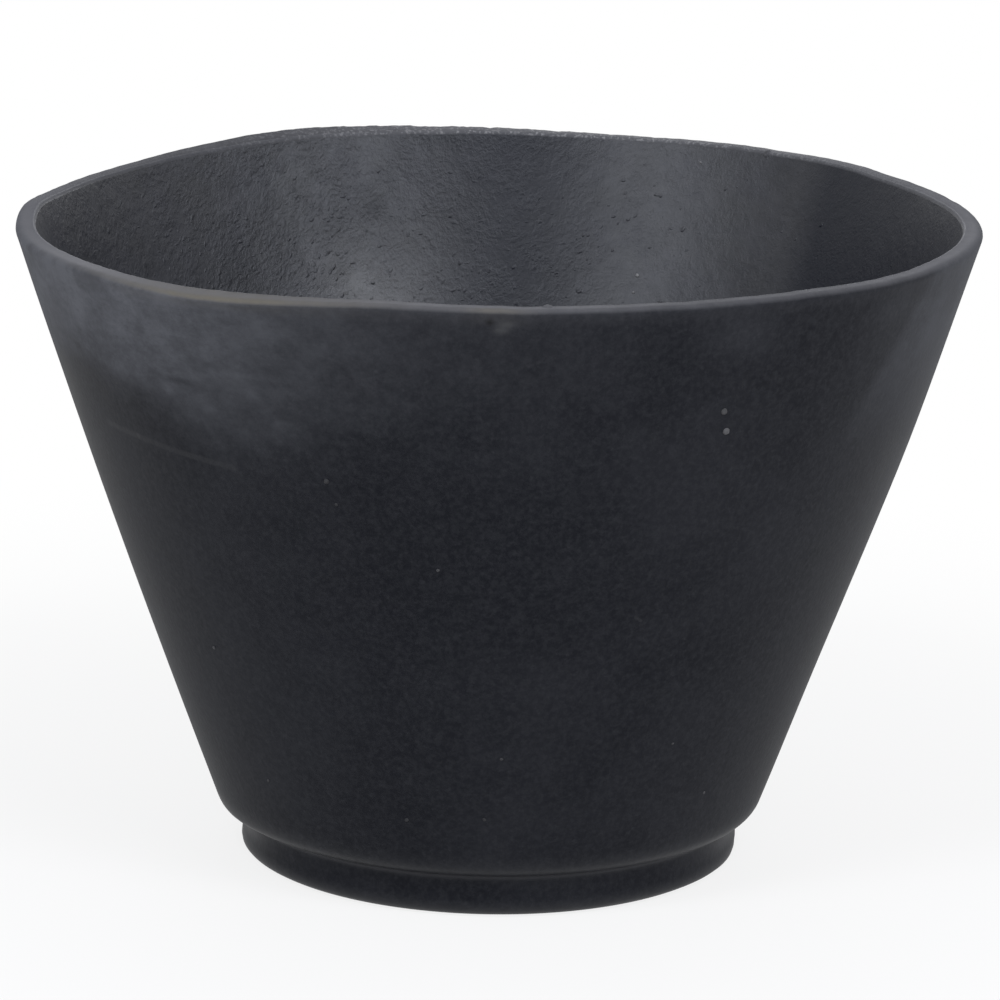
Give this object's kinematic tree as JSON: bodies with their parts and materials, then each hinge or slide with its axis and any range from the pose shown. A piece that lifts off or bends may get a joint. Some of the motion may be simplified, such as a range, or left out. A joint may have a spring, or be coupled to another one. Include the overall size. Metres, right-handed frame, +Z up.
{
  "type": "plaster mixing bowl",
  "caption": "Flexible conical bowl of black rubber with a blunt lip and a low foot ring, for mixing plaster and squeezing the set remains out.",
  "frame": {"origin": "middle of the foot ring, on the surface that the bowl stands on", "axes": "+Z up along the axis of the bowl, -Y towards the viewer of the picture, +X to the viewer's right"},
  "size_m": [0.1294, 0.1294, 0.0893],
  "materials": {
    "black_rubber": "matt moulded black rubber with a blue cast, lighter and worn along the lip"
  },
  "bodies": {
    "root": {"bowl": "black_rubber"}
  },
  "joints": []
}
